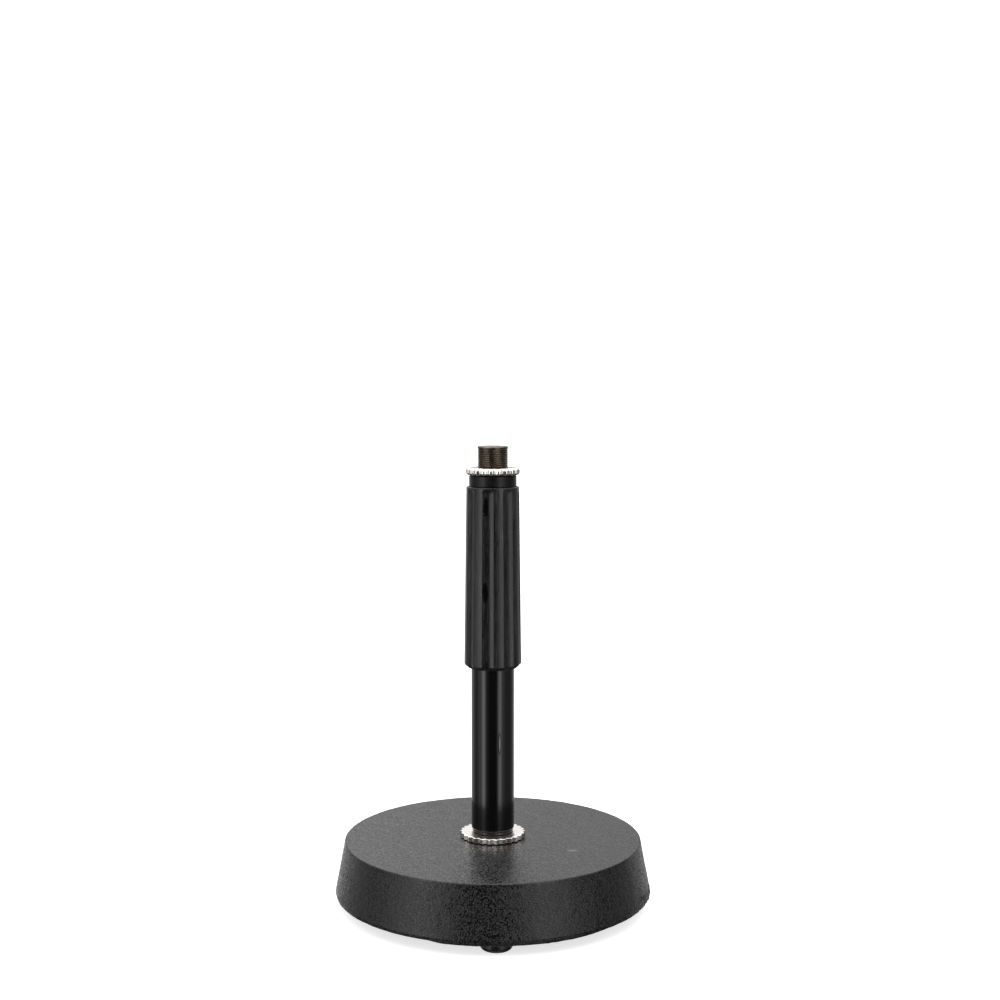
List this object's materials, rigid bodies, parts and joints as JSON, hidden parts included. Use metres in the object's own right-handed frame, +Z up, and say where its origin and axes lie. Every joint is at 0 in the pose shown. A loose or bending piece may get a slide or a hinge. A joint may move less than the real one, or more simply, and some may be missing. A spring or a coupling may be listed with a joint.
{
  "type": "desktop microphone stand",
  "caption": "Low telescoping microphone stand with a heavy round cast base on rubber feet, a twist-clutch grip, lock rings and a threaded stud on top.",
  "frame": {"origin": "on the mast's axis, on the plane that the feet stand on", "axes": "+Z up along the mast; -Y towards the viewer, through the front foot"},
  "size_m": [0.1636, 0.1636, 0.2379],
  "materials": {
    "textured_black_paint": "cast iron under fine-grained semi-gloss black paint",
    "black_rubber": "matte moulded rubber",
    "zinc_steel": "turned steel with dull zinc plating",
    "black_oxide_steel": "turned steel with an oiled black oxide finish",
    "nickel_plate": "bright warm nickel plate",
    "dark_nickel": "turned steel with a dark, slightly brown nickel finish",
    "gloss_black_enamel": "smooth gloss black enamel on steel tube",
    "satin_black_plastic": "moulded satin black plastic",
    "satin_black_paint": "satin black paint on turned metal",
    "bare_brass": "bare brass",
    "natural_nylon": "unfilled nylon, slightly translucent white"
  },
  "bodies": {
    "base": {"base_casting": "textured_black_paint", "rubber_foot_1": "black_rubber", "rubber_foot_2": "black_rubber", "rubber_foot_3": "black_rubber", "rubber_foot_4": "black_rubber", "foot_washer_1": "zinc_steel", "foot_washer_2": "zinc_steel", "foot_washer_3": "zinc_steel", "foot_washer_4": "zinc_steel", "foot_screw_1": "zinc_steel", "foot_screw_2": "zinc_steel", "foot_screw_3": "zinc_steel", "foot_screw_4": "zinc_steel", "lower_stud": "black_oxide_steel", "lower_tube": "gloss_black_enamel", "clutch_body": "zinc_steel"},
    "base_ring": {"base_lock_ring": "nickel_plate"},
    "clutch_carriage": {"collet": "natural_nylon", "thrust_washer": "bare_brass"},
    "clutch_grip": {"clutch_nut": "zinc_steel", "grip_sleeve": "satin_black_plastic", "grip_cap": "satin_black_paint", "cap_bushing": "natural_nylon", "skirt_bush": "natural_nylon"},
    "mast_carriage": {"guide_bush": "natural_nylon"},
    "upper_mast": {"upper_tube": "gloss_black_enamel", "bush_retaining_ring": "zinc_steel", "upper_stud": "dark_nickel"},
    "top_ring": {"top_lock_ring": "nickel_plate"}
  },
  "joints": [
    {"name": "height_slide", "type": "slide", "parent": "base", "child": "mast_carriage", "axis": [0, 0, 1], "range_m": [0, 0.1016]},
    {"name": "mast_swivel", "type": "hinge", "parent": "mast_carriage", "child": "upper_mast", "pos_m": [0, 0, 0.12], "axis": [0, 0, 1], "continuous": true},
    {"name": "clutch_travel", "type": "slide", "parent": "base", "child": "clutch_carriage", "axis": [0, 0, 1], "range_m": [0, 0.00025]},
    {"name": "clutch_twist", "type": "hinge", "parent": "clutch_carriage", "child": "clutch_grip", "pos_m": [0, 0, 0.17], "axis": [0, 0, 1], "range_deg": [0, 90]},
    {"name": "base_ring_spin", "type": "hinge", "parent": "base", "child": "base_ring", "pos_m": [0, 0, 0.0358], "axis": [0, 0, 1], "range_deg": [0, 180]},
    {"name": "top_ring_spin", "type": "hinge", "parent": "upper_mast", "child": "top_ring", "pos_m": [0, 0, 0.225], "axis": [0, 0, 1], "continuous": true}
  ],
  "couplings": [
    {"joint": "clutch_twist", "follows": "clutch_travel", "rad_per_m": 6283.2}
  ]
}
